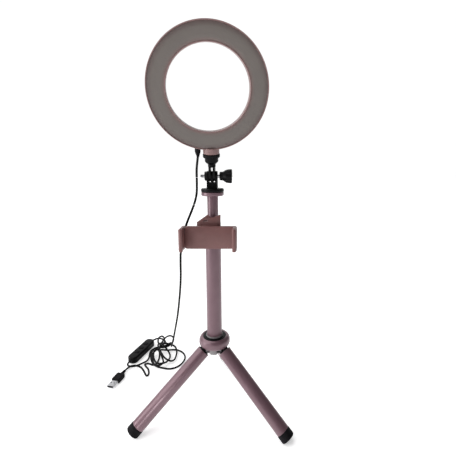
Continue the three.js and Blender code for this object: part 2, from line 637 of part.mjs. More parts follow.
function addLead() {
  for (const [name, points] of Object.entries(LEAD)) {
    const path = new THREE.CatmullRomCurve3(points.map((p) => new THREE.Vector3(...p)), false, "centripetal");
    place(stand, name, cordAlong(points, Math.ceil(path.getLength() / LEAD_STEP)), LOOK.cord);
  }
  const heap = new THREE.Shape().moveTo(BUNDLE.left, BUNDLE.front + 22);
  heap.quadraticCurveTo(BUNDLE.left + 12, BUNDLE.front + 14, BUNDLE.left + 22, BUNDLE.front);
  heap.lineTo(BUNDLE.right - 26, BUNDLE.front);
  heap.quadraticCurveTo(BUNDLE.right, BUNDLE.front + 4, BUNDLE.right, BUNDLE.front + 30);
  heap.quadraticCurveTo(BUNDLE.right - 6, BUNDLE.front + 62, BUNDLE.right - 24, BUNDLE.back);
  heap.lineTo(BUNDLE.right - 44, BUNDLE.back);
  heap.quadraticCurveTo(BUNDLE.left + 8, BUNDLE.back - 16, BUNDLE.left, BUNDLE.front + 40);
  heap.lineTo(BUNDLE.left, BUNDLE.front + 22);
  place(stand, "lead_bundle", solid(sheetOf(heap, BUNDLE.height, 5)), LOOK.cord);
}

// A group laid on the table at [x, y], with local +X along a heading in degrees.
function laidAt([x, y], heading) {
  const laid = new THREE.Group();
  laid.position.set(x, y, 0);
  laid.rotation.z = degrees(heading);
  stand.add(laid);
  return laid;
}

function addController() {
  const { length, wide, thick, split } = CASE;
  const laid = laidAt(CASE.at, CASE.heading);
  const shellOf = (low, high, inset) =>
    solid(sheetOf(roundedRect(length - inset, wide - inset, 7 - inset / 2), high - low).translate(0, 0, low));
  const base = cut(shellOf(0, split, 0), shellOf(1.8, split + 1, 3.6));
  place(laid, "controller_base", base, LOOK.black);
  const keyAt = [-1, 0, 1].map((n) => n * CASE.pitch);
  const keyShape = (x, grow, low, high) =>
    solid(sheetOf(roundedRect(8 + grow, 10 + grow, 2.5 + grow / 2), high - low).translate(x, 0, low));
  const windows = keyAt.map((x) => keyShape(x, 2 * GAP, thick - 3, thick + 1));
  const lid = cut(shellOf(split + GAP, thick, 0), shellOf(split, thick - 1.8, 3.6), ...windows);
  place(laid, "controller_lid", lid, LOOK.black);
  for (const [n, x] of keyAt.entries()) {
    const key = join(keyShape(x, 0, thick - 4.5, thick + 1), keyShape(x, 2.4, thick - 4.5, thick - 3));
    place(laid, "key_" + KEY_NAMES[n], key, LOOK.rubber);
  }
}

function addPlug() {
  const { grip, wide, thick, shell, shell_w, shell_t, sheet } = USB;
  const laid = laidAt(USB.at, USB.heading);
  const plan = new THREE.Shape().moveTo(0, -2.6).lineTo(7, -3.4).lineTo(10.5, -wide / 2);
  plan.lineTo(grip, -wide / 2).lineTo(grip, wide / 2).lineTo(10.5, wide / 2).lineTo(7, 3.4).lineTo(0, 2.6);
  const outline = sheetOf(roundedRect(wide + 4, thick, 3), 60).rotateX(Math.PI / 2).rotateZ(Math.PI / 2);
  const moulded = solid(sheetOf(plan, thick)).intersect(solid(outline.translate(-10, 0, thick / 2)));
  const mid = thick / 2;
  const inside = (inset, from, to) => block(
    [from, -shell_w / 2 + inset, mid - shell_t / 2 + inset],
    [to, shell_w / 2 - inset, mid + shell_t / 2 - inset],
  );
  const stub = inside(sheet + 0.1, grip - 5, grip + 1.5);
  const tongue = block([grip - 1, -5.2, mid + 0.1], [grip + shell - 1.5, 5.2, mid + 1.7]);
  place(laid, "usb_grip", join(moulded, stub, tongue), LOOK.rubber);
  const tube = cut(inside(0, grip + GAP, grip + shell), inside(sheet, grip - 1, grip + shell + 1));
  place(laid, "usb_shell", tube, LOOK.steel);
}

addLegs();
addHub();
addColumn();
addHingeBase();
addHead();
addClipBody();
addClipLever();
addPhoneHolder();

// ---------------------------------------------------------------- origin
// The origin is on the floor, under the middle of the stand without its lead.
const footprint = new THREE.Box3().setFromObject(stand).getCenter(new THREE.Vector3());
addLead();
addController();
addPlug();
stand.position.set(-footprint.x, -footprint.y, 0);
const group = new THREE.Group();
group.add(stand);

export default group;
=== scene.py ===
"""A small USB ring light on a folding tripod, with a phone holder and its lead.

Lengths are in millimetres from the column's axis and the floor; at() turns them into the frame's metres.
"""
import json
import math

import bmesh
import bpy
from mathutils import Matrix, Vector


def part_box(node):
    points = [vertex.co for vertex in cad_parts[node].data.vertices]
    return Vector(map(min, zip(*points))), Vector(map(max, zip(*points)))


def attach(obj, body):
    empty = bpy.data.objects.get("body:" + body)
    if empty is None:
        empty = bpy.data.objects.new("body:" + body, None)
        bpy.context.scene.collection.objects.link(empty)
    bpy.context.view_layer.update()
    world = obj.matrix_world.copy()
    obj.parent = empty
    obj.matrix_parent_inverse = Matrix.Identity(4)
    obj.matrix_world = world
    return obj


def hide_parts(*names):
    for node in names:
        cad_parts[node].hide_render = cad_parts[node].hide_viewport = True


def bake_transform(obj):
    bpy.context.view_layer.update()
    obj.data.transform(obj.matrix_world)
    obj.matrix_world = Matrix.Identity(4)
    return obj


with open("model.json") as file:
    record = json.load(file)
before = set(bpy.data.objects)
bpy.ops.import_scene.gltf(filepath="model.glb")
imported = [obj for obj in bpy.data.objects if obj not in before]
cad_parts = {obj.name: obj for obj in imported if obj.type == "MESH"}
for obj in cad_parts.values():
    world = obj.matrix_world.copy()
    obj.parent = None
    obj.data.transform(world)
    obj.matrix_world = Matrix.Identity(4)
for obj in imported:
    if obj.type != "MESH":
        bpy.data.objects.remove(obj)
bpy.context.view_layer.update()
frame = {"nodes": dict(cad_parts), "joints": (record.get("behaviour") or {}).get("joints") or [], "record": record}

MM = 0.001
JOINTS = {joint["name"]: joint for joint in frame["joints"]}


def middle(node):
    low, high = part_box(node)
    return (low + high) / 2


COLUMN = Vector((middle("outer_tube").x, middle("outer_tube").y, 0))


def at(x, y, z):
    """A point in millimetres from the foot of the column's axis, in the frame's metres."""
    return COLUMN + Vector((x, y, z)) * MM


def axes(origin, up, right):
    """The matrix of a place: local Z along up, local X as near to right as it can be, millimetres in."""
    z = Vector(up).normalized()
    y = z.cross(Vector(right)).normalized()
    turn = Matrix((y.cross(z), y, z)).transposed().to_4x4()
    return Matrix.Translation(Vector(origin)) @ turn @ Matrix.Scale(MM, 4)


# ---------------------------------------------------------------- places
UPRIGHT = axes(COLUMN, (0, 0, 1), (1, 0, 0))
HINGE = axes(JOINTS["head_tilt"]["pos_m"], (1, 0, 0), (0, 0, 1))
HEAD = axes(JOINTS["lamp_pan"]["pos_m"], JOINTS["lamp_pan"]["axis"], (1, 0, 0))
LAMP_HEIGHT = 120.5  # from the hinge to the middle of the lamp
SWIVEL = HEAD @ Matrix.Rotation(math.radians(8), 4, "Z")  # the lamp stands turned a little on its neck
LAMP = SWIVEL @ Matrix.Translation((0, 0, LAMP_HEIGHT)) @ Matrix.Rotation(math.pi / 2, 4, "X")


def leg_place(number):
    """Local Z runs down the leg from its hinge pin, local Y along the pin."""
    joint = JOINTS[f"leg_fold_{number}"]
    pivot = Vector(joint["pos_m"])
    return axes(pivot, middle(f"leg_tube_{number}") - pivot, Vector(joint["axis"]).cross(Vector((0, 0, 1))))


# ---------------------------------------------------------------- sizes
RING = {"outer": 80, "hole": 55, "half": 9, "wall": 2.5, "lip": 1.5}
NUT = {"bottom": 18.9, "cone": 22.4, "step": 28.3, "top": 33.6, "r0": 6.5, "r1": 9.7, "r2": 12.2, "bore": 3.5}
STUD_R = 3.175
LEG = {"r": 10, "bore": 8.8, "start": 5.5, "end": 140.7, "foot": 152.5}
TUBES = {"outer_tube": (11.6, 1.0), "mid_tube": (9.7, 0.9), "inner_tube": (8.1, 0.9)}
CORD_R = 1.7  # thicker than the CAD's 1.4


# ---------------------------------------------------------------- camera
def set_camera():
    camera = bpy.data.objects.new("camera", bpy.data.cameras.new("camera"))
    bpy.context.scene.collection.objects.link(camera)
    camera.location = at(50.3, -472.9, 392.3)
    camera.rotation_euler = (math.radians(90 - 8.02), 0, 0)
    camera.data.lens = 25.34
    camera.data.sensor_width = 36
    camera.data.shift_x = -0.0407
    camera.data.shift_y = -0.0457
    camera.data.clip_start = 0.02
    bpy.context.scene.camera = camera


# ---------------------------------------------------------------- mesh tools
def piece(name, vertices, faces, place=None, sharp=32):
    """A smooth mesh object in frame metres, with its edges sharp past an angle."""
    mesh = bpy.data.meshes.new(name)
    mesh.from_pydata([tuple(v) for v in vertices], [], faces)
    if place is not None:
        mesh.transform(place)
    return finished(name, mesh, sharp)


def finished(name, mesh, sharp=32):
    """Points the faces outwards and smooths them, then makes the object."""
    work = bmesh.new()
    work.from_mesh(mesh)
    bmesh.ops.recalc_face_normals(work, faces=work.faces)
    work.to_mesh(mesh)
    work.free()
    mesh.shade_smooth()
    mesh.set_sharp_from_angle(angle=math.radians(sharp))
    made = bpy.data.objects.new(name, mesh)
    bpy.context.scene.collection.objects.link(made)
    return made


def softened(points, radius, steps=4, closed=True):
    """An outline with each corner rounded by a short curve; radius may be one number or one a corner."""
    count = len(points)
    radii = [radius] * count if isinstance(radius, (int, float)) else radius
    result = []
    for n, point in enumerate(points):
        corner = Vector(point)
        if not closed and n in (0, count - 1):
            result.append(tuple(corner))
            continue
        before, after = Vector(points[n - 1]) - corner, Vector(points[(n + 1) % count]) - corner
        reach = min(radii[n], 0.45 * before.length, 0.45 * after.length)
        if reach < 1e-3:
            result.append(tuple(corner))
            continue
        start, end = corner + before.normalized() * reach, corner + after.normalized() * reach
        for k in range(steps + 1):
            t = k / steps
            result.append(tuple(start * (1 - t) ** 2 + corner * 2 * t * (1 - t) + end * t * t))
    return result


def turned(name, profile, place, sides=96, shape=None, closed=True, sharp=32):
    """Revolves [radius, z] points. shape(radius, z, angle) may change a point's radius."""
    vertices, faces = [], []
    for step in range(sides):
        angle = 2 * math.pi * step / sides
        for radius, z in profile:
            r = shape(radius, z, angle) if shape else radius
            vertices.append((r * math.cos(angle), r * math.sin(angle), z))
    count = len(profile)
    for step in range(sides):
        here, there = step * count, (step + 1) % sides * count
        for k in range(count if closed else count - 1):
            after = (k + 1) % count
            faces.append((here + k, there + k, there + after, here + after))
    made = piece(name, vertices, faces, place, sharp)
    weld(made.data, 1e-7)
    return made


def weld(mesh, distance):
    """Joins points at one place and removes faces with no area."""
    work = bmesh.new()
    work.from_mesh(mesh)
    bmesh.ops.remove_doubles(work, verts=work.verts, dist=distance)
    bmesh.ops.dissolve_degenerate(work, edges=work.edges, dist=distance)
    bmesh.ops.recalc_face_normals(work, faces=work.faces)
    work.to_mesh(mesh)
    work.free()


def hollow(outer, inner, low, high, rim=0.35):
    """The profile of a tube with softened ends."""
    return softened([(inner, low), (outer, low), (outer, high), (inner, high)], rim)


def applied(made, sharp=32):
    """Turns an object's modifiers into its mesh."""
    graph = bpy.context.evaluated_depsgraph_get()
    mesh = bpy.data.meshes.new_from_object(made.evaluated_get(graph))
    name = made.name
    bpy.data.objects.remove(made)
    return finished(name, mesh, sharp)


def dressed(node, bevel, name=None, sharp=32, segments=2):
    """A copy of a CAD node with its edges rounded, which stands for it."""
    mesh = frame["nodes"][node].data.copy()
    work = bmesh.new()
    work.from_mesh(mesh)
    bmesh.ops.remove_doubles(work, verts=work.verts, dist=2e-6)
    bmesh.ops.dissolve_limit(work, angle_limit=math.radians(0.6), verts=work.verts, edges=work.edges)
    work.to_mesh(mesh)
    work.free()
    made = finished(name or node + "_finished", mesh, sharp)
    edge = made.modifiers.new("edge", "BEVEL")
    edge.width = bevel * MM
    edge.segments = segments
    edge.limit_method = "ANGLE"
    edge.angle_limit = math.radians(sharp)
    edge.harden_normals = False
    made = applied(made, 40)
    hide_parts(node)
    return made


def cut_with(made, cutters, operation="DIFFERENCE", sharp=32):
    """Cuts solids out of a piece, or joins them to it, and removes them."""
    for cutter in cutters:
        change = made.modifiers.new("cut", "BOOLEAN")
        change.operation = operation
        change.object = cutter
        change.solver = "EXACT"
    made = applied(made, sharp)
    for cutter in cutters:
        bpy.data.objects.remove(cutter)
    return made


def box_piece(name, low, high, place):
    corners = [(x, y, z) for x in (low[0], high[0]) for y in (low[1], high[1]) for z in (low[2], high[2])]
    faces = [(0, 1, 3, 2), (4, 6, 7, 5), (0, 4, 5, 1), (2, 3, 7, 6), (0, 2, 6, 4), (1, 5, 7, 3)]
    return piece(name, corners, faces, place)


def curve_points(knots, spacing):
    """Points a little apart on a smooth curve through knots (centripetal Catmull-Rom)."""
    points = [Vector(k) for k in knots]
    points = [2 * points[0] - points[1], *points, 2 * points[-1] - points[-2]]
    result = []
    for a, b, c, d in zip(points, points[1:], points[2:], points[3:]):
        spans = [max((q - p).length ** 0.5, 1e-4) for p, q in ((a, b), (b, c), (c, d))]
        start = ((b - a) / spans[0] - (c - a) / (spans[0] + spans[1]) + (c - b) / spans[1]) * spans[1]
        end = ((c - b) / spans[1] - (d - b) / (spans[1] + spans[2]) + (d - c) / spans[2]) * spans[1]
        steps = max(1, round((c - b).length / spacing))
        for k in range(steps):
            t = k / steps
            result.append(
                b * (2 * t**3 - 3 * t**2 + 1) + start * (t**3 - 2 * t**2 + t)
                + c * (3 * t**2 - 2 * t**3) + end * (t**3 - t**2)
            )
    return [*result, points[-2]]


def tube(name, path, radius, sides=12):
    """A round tube with closed ends along points in frame metres."""
    vertices, faces = [], []
    side = None
    for n, point in enumerate(path):
        ahead = (path[min(n + 1, len(path) - 1)] - path[max(n - 1, 0)]).normalized()
        side = (side - ahead * side.dot(ahead) if side else ahead.orthogonal()).normalized()
        up = ahead.cross(side)
        for k in range(sides):
            turn = 2 * math.pi * k / sides
            vertices.append(point + (side * math.cos(turn) + up * math.sin(turn)) * radius)
    for n in range(len(path) - 1):
        for k in range(sides):
            a, b = n * sides + k, n * sides + (k + 1) % sides
            faces.append((a, b, b + sides, a + sides))
    faces.append(tuple(range(sides)))
    faces.append(tuple(range(len(vertices) - sides, len(vertices))))
    return piece(name, vertices, faces, sharp=60)


def pillow(name, size, radius, edge, low, high, place, steps=4, base_edge=None):
    """A slab with a round-cornered outline and rounded upper and lower edges."""
    base_edge = edge if base_edge is None else base_edge
    levels = [(low + base_edge * (1 - math.cos(t)), base_edge * (1 - math.sin(t))) for t in quarter(steps)]
    levels += [(high - edge * (1 - math.sin(t)), edge * (1 - math.cos(t))) for t in quarter(steps)]
    vertices, faces = [], []
    for z, inset in levels:
        corners = round_corners(size[0] / 2 - inset, size[1] / 2 - inset, radius - inset)
        vertices += [(x, y, z) for x, y in corners]
    around = len(vertices) // len(levels)
    for n in range(len(levels) - 1):
        for k in range(around):
            a, b = n * around + k, n * around + (k + 1) % around
            faces.append((a, b, b + around, a + around))
    faces.append(tuple(range(around)))
    faces.append(tuple(range(len(vertices) - around, len(vertices))))
    return piece(name, vertices, faces, place, 30)


def quarter(steps):
    return [math.pi / 2 * k / steps for k in range(steps + 1)]


def round_corners(half_x, half_y, radius, steps=6):
    """The outline of a rectangle with round corners."""
    radius = max(radius, 0.05)
    outline = []
    for number, (sx, sy) in enumerate(((1, 1), (-1, 1), (-1, -1), (1, -1))):
        for k in range(steps + 1):
            turn = math.pi / 2 * (number + k / steps)
            outline.append((
                sx * (half_x - radius) + radius * math.cos(turn),
                sy * (half_y - radius) + radius * math.sin(turn),
            ))
    return outline


# ---------------------------------------------------------------- materials
class Surface:
    """A Principled material with the small tools its procedural detail needs."""

    def __init__(self, name, color, roughness, metallic=0.0, **sockets):
        self.material = bpy.data.materials.new(name)
        self.material.use_nodes = True
        self.nodes, self.links = self.material.node_tree.nodes, self.material.node_tree.links
        self.shader = self.nodes["Principled BSDF"]
        self.shader.inputs["Base Color"].default_value = (*color, 1)
        self.shader.inputs["Roughness"].default_value = roughness
        self.shader.inputs["Metallic"].default_value = metallic
        for socket, value in sockets.items():
            self.shader.inputs[socket.replace("_", " ")].default_value = value
        self.place = self.nodes.new("ShaderNodeTexCoord").outputs["Object"]

    def noise(self, scale, detail=3.0, stretch=(1, 1, 1)):
        mapping = self.nodes.new("ShaderNodeMapping")
        mapping.inputs["Scale"].default_value = stretch
        self.links.new(self.place, mapping.inputs["Vector"])
        node = self.nodes.new("ShaderNodeTexNoise")
        node.inputs["Scale"].default_value = scale
        node.inputs["Detail"].default_value = detail
        self.links.new(mapping.outputs["Vector"], node.inputs["Vector"])
        return node.outputs["Fac"]

    def cells(self, scale, feature="F1"):
        node = self.nodes.new("ShaderNodeTexVoronoi")
        node.inputs["Scale"].default_value = scale
        node.feature = feature
        self.links.new(self.place, node.inputs["Vector"])
        return node.outputs["Distance"]

    def ranged(self, value, low, high, start=0.3, end=0.7):
        node = self.nodes.new("ShaderNodeMapRange")
        for socket, number in zip(("From Min", "From Max", "To Min", "To Max"), (start, end, low, high)):
            node.inputs[socket].default_value = number
        self.links.new(value, node.inputs["Value"])
        return node.outputs["Result"]

    def colors(self, value, first, second, start=0.35, end=0.65):
        node = self.nodes.new("ShaderNodeValToRGB")
        for element, place, color in zip(node.color_ramp.elements, (start, end), (first, second)):
            element.position = place
            element.color = (*color, 1)
        self.links.new(value, node.inputs["Fac"])
        self.links.new(node.outputs["Color"], self.shader.inputs["Base Color"])

    def distance(self, point):
        """How far the surface is from a point, in metres."""
        node = self.nodes.new("ShaderNodeVectorMath")
        node.operation = "DISTANCE"
        node.inputs[1].default_value = point
        self.links.new(self.place, node.inputs[0])
        return node.outputs["Value"]

    def ramp(self, value, stops, start, end):
        """A colour ramp of (place, colour) stops over a range of a value."""
        node = self.nodes.new("ShaderNodeValToRGB")
        elements = node.color_ramp.elements
        while len(elements) < len(stops):
            elements.new(0.5)
        for element, (place, color) in zip(elements, stops):
            element.position = place
            element.color = (*color, 1)
        self.links.new(self.ranged(value, 0, 1, start, end), node.inputs["Fac"])
        return node.outputs["Color"]

    def tint(self, color, value, low, high):
        """Paints a colour, a little darker and lighter with a value."""
        node = self.nodes.new("ShaderNodeVectorMath")
        node.operation = "MULTIPLY"
        self.links.new(color, node.inputs[0])
        self.links.new(self.ranged(value, low, high), node.inputs[1])
        self.links.new(node.outputs["Vector"], self.shader.inputs["Base Color"])

    def rough(self, value, low, high):
        self.links.new(self.ranged(value, low, high), self.shader.inputs["Roughness"])

    def bump(self, value, depth, strength=1.0):
        """Raises the surface by up to depth millimetres; later calls add to earlier ones."""
        node = self.nodes.new("ShaderNodeBump")
        node.inputs["Distance"].default_value = depth * MM
        node.inputs["Strength"].default_value = strength
        self.links.new(value, node.inputs["Height"])
        earlier = self.shader.inputs["Normal"].links
        if earlier:
            self.links.new(earlier[0].from_socket, node.inputs["Normal"])
        self.links.new(node.outputs["Normal"], self.shader.inputs["Normal"])


def enamel():
    """Dusty rose satin paint over metal, in colours darker than the real paint as painted shade: fine orange peel,
    faint flake and rubbing along the length.
    """
    made = Surface("rose_enamel", (0.2, 0.115, 0.138), 0.32, 0.25, Coat_Weight=0.2, Coat_Roughness=0.2)
    made.colors(made.noise(28, 4), (0.158, 0.087, 0.107), (0.181, 0.104, 0.125))
    made.rough(made.noise(160, 4, (1, 1, 0.15)), 0.29, 0.42)
    made.bump(made.noise(520, 2), 0.05, 0.35)
    made.bump(made.noise(2600, 1), 0.012, 0.4)
    return made.material


def moulded(name, dark, light, roughness, grain=0.03, **sockets):
    """Moulded plastic with a fine spark-eroded grain and slight flow marks."""
    made = Surface(name, light, roughness, **sockets)
    made.colors(made.noise(42, 5), dark, light)
    made.rough(made.noise(230, 3), roughness - 0.06, roughness + 0.08)
    made.bump(made.noise(1900, 3), grain, 0.5)
    made.bump(made.noise(90, 2), 0.06, 0.12)
    return made.material


# Painted shade: darker than a real diffuser, as if lit from behind, lighter at the hole and darker at the outer
# edge, with painted rosy light from the shell at both edges.
DIFFUSER_PAINTED_SHADING = [
    (0.06, (0.185, 0.125, 0.115)), (0.24, (0.155, 0.133, 0.121)), (0.66, (0.15, 0.129, 0.116)),
    (0.97, (0.115, 0.077, 0.074)),
]


def frosted():
    """An unlit diffuser: milky plastic with a fine prismatic grain, in painted shade that is darker than the real
    plastic and darkest at the outer edge, with painted rosy light at both edges.
    """
    made = Surface("diffuser", (0.17, 0.145, 0.132), 0.45, Subsurface_Weight=0.15, Coat_Weight=0.12)
    made.shader.inputs["Subsurface Radius"].default_value = (0.004, 0.003, 0.003)
    made.shader.inputs["Subsurface Scale"].default_value = 1.0
    reach = made.distance(LAMP.translation + LAMP.to_3x3() @ Vector((0, 0, RING["half"])))
    # Painted shade and light: the colour follows the ramp, lighter near the hole and darker at the outer edge.
    painted_shading = made.ramp(reach, DIFFUSER_PAINTED_SHADING, RING["hole"] * MM, RING["outer"] * MM)
    made.tint(painted_shading, made.noise(14, 3), 0.9, 1.02)
    made.rough(made.noise(120, 3), 0.36, 0.5)
    made.bump(made.cells(620), 0.05, 0.3)
    return made.material


def rubber():
    made = Surface("soft_rubber", (0.006, 0.0056, 0.007), 0.62, Specular_IOR_Level=0.08)
    made.colors(made.noise(60, 5), (0.0045, 0.0042, 0.0052), (0.011, 0.0102, 0.0125))
    made.rough(made.noise(140, 4), 0.5, 0.78)
    made.bump(made.noise(800, 4), 0.05, 0.5)
    return made.material


def sheath():
    """The lead's black sheath: soft PVC with a slight sheen and fine dust."""
    made = Surface("lead_sheath", (0.004, 0.004, 0.0046), 0.42, Specular_IOR_Level=0.1)
    made.colors(made.noise(110, 5), (0.0028, 0.0028, 0.0033), (0.0075, 0.0073, 0.0082))
    made.rough(made.noise(210, 3), 0.34, 0.56)
    made.bump(made.noise(1300, 2), 0.03, 0.4)
    return made.material


def brushed(name, color, roughness, stretch):
    made = Surface(name, color, roughness, 1.0, Anisotropic=0.4)
    made.colors(made.noise(90, 4), tuple(0.82 * c for c in color), color)
    made.rough(made.noise(520, 3, stretch), roughness - 0.1, roughness + 0.12)
    made.bump(made.noise(900, 2, stretch), 0.015, 0.4)
    return made.material


def board():
    made = Surface("circuit_board", (0.78, 0.77, 0.73), 0.35, Coat_Weight=0.3)
    made.colors(made.noise(70, 4), (0.7, 0.69, 0.65), (0.82, 0.81, 0.77))
    made.bump(made.cells(300), 0.04, 0.3)
    return made.material


MATERIALS = {
    "rose_enamel": enamel(),
    "salmon_plastic": moulded("salmon_plastic", (0.158, 0.066, 0.063), (0.183, 0.078, 0.074), 0.42),
    "shell_plastic": moulded(
        "shell_plastic", (0.2, 0.112, 0.108), (0.228, 0.13, 0.125), 0.38, Coat_Weight=0.1,
    ),
    "diffuser": frosted(),
    "circuit_board": board(),
    "black_plastic": moulded(
        "black_plastic", (0.003, 0.003, 0.0036), (0.0065, 0.0065, 0.0075), 0.34, 0.04, Specular_IOR_Level=0.1,
    ),
    "soft_rubber": rubber(),
    "lead_sheath": sheath(),
    "grey_plastic": moulded("grey_plastic", (0.2, 0.185, 0.19), (0.25, 0.232, 0.238), 0.45),
    "steel": brushed("steel", (0.56, 0.56, 0.58), 0.3, (1, 1, 8)),
    "brass": brushed("brass", (0.6, 0.46, 0.2), 0.32, (1, 1, 6)),
}


def dress_frame():
    """Every CAD node that stays gets its slot's material."""
    for row in frame["record"]["subparts"]:
        node = frame["nodes"][row["node"]]
        node.data.materials.clear()
        node.data.materials.append(MATERIALS[row["material_slot"]])


def put(made, slot, body=None, *nodes):
    """Gives a piece its material, its body and the nodes that it stands for."""
    made.data.materials.clear()
    made.data.materials.append(MATERIALS[slot])
    if body:
        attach(made, body)
    if nodes:
        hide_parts(*nodes)
    return made


# ---------------------------------------------------------------- lamp
def shell_profile():
    """The channel that holds the lamp: a lip at the front, a parting line, and a rounded back."""
    outer, hole, half, wall = RING["outer"], RING["hole"], RING["half"], RING["wall"]
    lip, deep = RING["lip"], -half + 2.4
    groove = [(outer, half - 5.2), (outer - 0.35, half - 5.4), (outer - 0.35, half - 5.8), (outer, half - 6.0)]
    corners = [
        (hole, half), (hole, -half + 4), (hole + 3, -half), (outer - 4.5, -half), (outer, -half + 4.5),
        *reversed(groove), (outer, half), (outer - lip, half), (outer - lip, half - 3.6),
        (outer - wall - 1.2, half - 3.6), (outer - wall - 1.2, deep), (hole + wall + 1.2, deep),
        (hole + wall + 1.2, half - 3.6), (hole + lip, half - 3.6), (hole + lip, half),
    ]
    radii = [0.8, 2.5, 2.2, 3, 3, 0.1, 0.1, 0.1, 0.1, 0.9, 0.7, 0.1, 0.1, 0.4, 0.4, 0.1, 0.1, 0.7]
    return softened(corners, radii)


def make_lamp():
    shell = turned("lamp_shell", shell_profile(), LAMP, sides=180)
    seat = NUT["top"] + 0.3
    top = LAMP_HEIGHT - RING["outer"] + 2
    neck = turned("lamp_neck", softened([(0, seat), (11.6, seat), (11.6, top), (0, top)], 0.8, closed=False),
                  HEAD, 72, closed=False)
    bore = [(0, seat - 1), (4.4, seat - 1), (4.4, seat + 6.5), (0, seat + 6.5)]
    well = turned("well", bore, HEAD, 48, closed=False)
    neck = cut_with(neck, [well])
    put(shell, "shell_plastic", "lamp", "ring_shell")
    put(neck, "shell_plastic", "lamp", "ring_shell")

    inner, outer = RING["hole"] + RING["lip"] + 0.1, RING["outer"] - RING["lip"] - 0.1
    face, back = RING["half"] - 0.4, RING["half"] - 3.3
    crown = [(inner + (outer - inner) * k / 14, face - 0.5 * abs(k / 7 - 1) ** 3) for k in range(15)]
    panel = turned("diffuser_panel", [(inner, back), *crown, (outer, back)], LAMP, 180)
    put(panel, "diffuser", "lamp", "diffuser")
    put(dressed("thread_insert", 0.15), "brass", "lamp")

    ribs = [(2.2, 30), (2.3, 31), (2.1, 31.3), (2.1, 31.8), (2.7, 32.1), (2.95, 33.1), (2.7, 33.4), (2.7, 33.9),
            (3.4, 34.2), (3.7, 35.2), (3.45, 35.5), (3.45, 36), (4.05, 36.4), (4.15, 39), (3.9, 41.5), (3.6, 45.6)]
    outline = softened([(0, 30), *ribs, (0, 45.6)], 0.25, closed=False)
    place = SWIVEL @ Matrix.Translation((-19, 0, 0))
    put(turned("lead_relief", outline, place, 40, closed=False), "soft_rubber", "lamp", "lead_boot")


# ---------------------------------------------------------------- tilting hinge
def make_lock_nut():
    """A stepped nut with a fluted grip."""
    outline = softened([
        (NUT["bore"], NUT["bottom"]), (NUT["r0"], NUT["bottom"]), (NUT["r1"], NUT["cone"]),
        (NUT["r1"], NUT["step"] - 0.4), (NUT["r2"] - 0.6, NUT["step"]), (NUT["r2"], NUT["step"] + 0.9),
        (NUT["r2"], NUT["top"] - 0.8), (NUT["r2"] - 0.7, NUT["top"]), (NUT["bore"], NUT["top"]),
    ], 0.5)

    def flutes(radius, z, angle):
        if radius > NUT["r2"] - 0.5:
            return radius - 0.45 * max(0, math.cos(30 * angle)) ** 2
        if NUT["cone"] < z < NUT["step"] - 1 and radius > NUT["r1"] - 0.2:
            return radius - 0.25 * max(0, math.cos(30 * angle)) ** 2
        return radius

    put(turned("nut_grip", outline, HEAD, 240, flutes), "black_plastic", "nut", "lock_nut")


def make_knob():
    """A flared thumb knob with five finger hollows on a turned collar."""
    start = 10.9
    outline = softened([
        (2.55, start), (6.3, start), (6.6, start + 5.2), (8.4, start + 7.2), (10, start + 10), (10.6, start + 15.5),
        (10.6, start + 17.2), (9.4, start + 18.2), (4, start + 16.8), (2.55, start + 16.6),
    ], [0.3, 0.8, 0.9, 1.2, 2, 1, 0.9, 0.9, 0.6, 0.3])

    def lobes(radius, z, angle):
        reach = min(max((z - start - 6.5) / 5, 0), 1)
        hollow_depth = 1.9 * reach * max(0, math.cos(5 * angle)) ** 1.5
        return radius - hollow_depth if radius > 5 else radius

    put(turned("thumb_grip", outline, HINGE, 200, lobes), "black_plastic", "thumb", "thumb_knob")


def threaded(name, radius, pitch, start, end, place, chamfer=0.8):
    """A rod with a real helical thread between two heights."""
    depth, sides = 0.54 * pitch, 36
    rows = max(8, round((end - start) / pitch * 8))
    vertices, faces = [], []
    for row in range(rows + 1):
        z = start + (end - start) * row / rows
        near_end = min(z - start, end - z) / chamfer
        for k in range(sides):
            wave = abs(((z / pitch + k / sides) % 1) * 2 - 1)
            r = min(radius - depth * wave, radius - depth * (1 - min(1, near_end)))
            angle = 2 * math.pi * k / sides
            vertices.append((r * math.cos(angle), r * math.sin(angle), z))
    for row in range(rows):
        for k in range(sides):
            a, b = row * sides + k, row * sides + (k + 1) % sides
            faces.append((a, b, b + sides, a + sides))
    faces.append(tuple(range(sides)))
    faces.append(tuple(range(rows * sides, (rows + 1) * sides)))
    return piece(name, vertices, faces, place, 50)


def make_hinge():
    make_lock_nut()
    make_knob()
    put(dressed("prong_base", 0.5), "black_plastic", "inner")
    put(dressed("adapter_fork", 0.45), "black_plastic", "adapter")
    put(dressed("hinge_nut", 0.3), "steel", "inner")
    shank = turned("bolt_shank", softened([(0, -12.4), (2.5, -12.4), (2.5, 21.7), (0, 21.7)], 0.3, closed=False),
                   HINGE, 40, closed=False)
    put(shank, "steel", "thumb", "thumb_bolt")
    put(threaded("bolt_thread", 2.5, 0.8, -17.3, -12.2, HINGE), "steel", "thumb", "thumb_bolt")
    put(threaded("adapter_thread", STUD_R, 1.27, 15.8, 39.5, HEAD), "steel", "adapter", "adapter_stud")
    flange = softened([
        (0, 328.6), (7, 328.6), (7, 342.9), (8.7, 342.9), (9.7, 343.1), (15.8, 343.1), (16.6, 343.9),
        (16.6, 348.5), (0, 348.5),
    ], [0, 0.2, 0.1, 0.3, 0.3, 0.6, 0.6, 0.5, 0], closed=False)
    put(turned("flange_disc", flange, UPRIGHT, closed=False), "rose_enamel", "inner", "top_flange")


# ---------------------------------------------------------------- column
def make_column():
    bodies = {"outer_tube": "base", "mid_tube": "mid", "inner_tube": "inner"}
    for node, (radius, wall) in TUBES.items():
        low, high = (corner.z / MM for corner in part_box(node))
        made = turned(node + "_drawn", hollow(radius, radius - wall, low, high), UPRIGHT)
        put(made, "rose_enamel", bodies[node], node)
    low, high = (corner.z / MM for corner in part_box("outer_rim"))
    rim = turned("rim_ring", hollow(10.55, 9.82, low, high, 0.2), UPRIGHT, 64)
    put(rim, "black_plastic", "base", "outer_rim")


